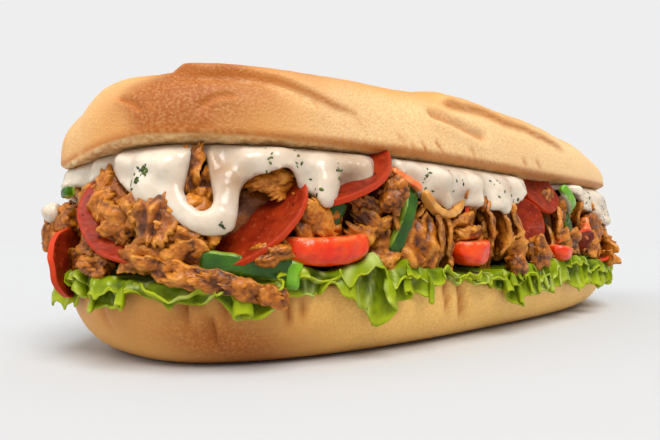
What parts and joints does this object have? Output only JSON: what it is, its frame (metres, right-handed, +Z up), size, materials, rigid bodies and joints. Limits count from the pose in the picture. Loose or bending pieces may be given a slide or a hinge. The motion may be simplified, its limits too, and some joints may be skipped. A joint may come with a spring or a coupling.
{
  "type": "cheesesteak sandwich",
  "caption": "Long scored roll split into two halves, filled with shaved steak, salami slices, tomato, pepper, carrot and onion between a lettuce bed and a blanket of melted cheese.",
  "frame": {"origin": "centre of the roll's flat underside, where it rests", "axes": "+X along the roll, to the right seen from the front; -Y towards the front; +Z up"},
  "size_m": [0.2714, 0.1115, 0.0777],
  "materials": {
    "crust": "satin golden baked crust, fine mottled grain",
    "lettuce": "satin fresh leaf",
    "cheese": "glossy melted cheese",
    "shaved_steak": "glossy browned meat",
    "salami": "satin cured meat",
    "tomato": "wet gloss",
    "green_pepper": "wet gloss",
    "carrot": "satin",
    "onion": "glossy translucent"
  },
  "bodies": {
    "root": {"blob_1": "cheese", "carrot_1": "carrot", "carrot_2": "carrot", "carrot_back_1": "carrot", "carrot_back_2": "carrot", "cheese": "cheese", "lettuce_1": "lettuce", "lettuce_2": "lettuce", "lettuce_3": "lettuce", "onion_1": "onion", "onion_back_1": "onion", "pepper_1": "green_pepper", "pepper_2": "green_pepper", "pepper_3": "green_pepper", "pepper_4": "green_pepper", "pepper_5": "green_pepper", "pepper_6": "green_pepper", "pepper_back_1": "green_pepper", "pepper_back_2": "green_pepper", "pepper_back_4": "green_pepper", "roll_base": "crust", "roll_top": "crust", "salami_1": "salami", "salami_2": "salami", "salami_3": "salami", "salami_4": "salami", "salami_5": "salami", "salami_6": "salami", "salami_7": "salami", "salami_8": "salami", "salami_9": "salami", "salami_back_1": "salami", "salami_back_2": "salami", "salami_back_3": "salami", "salami_back_5": "salami", "salami_back_7": "salami", "steak": "shaved_steak", "tomato_1": "tomato", "tomato_2": "tomato", "tomato_3": "tomato", "tomato_back_1": "tomato", "tomato_back_2": "tomato", "tomato_back_3": "tomato"}
  },
  "joints": []
}
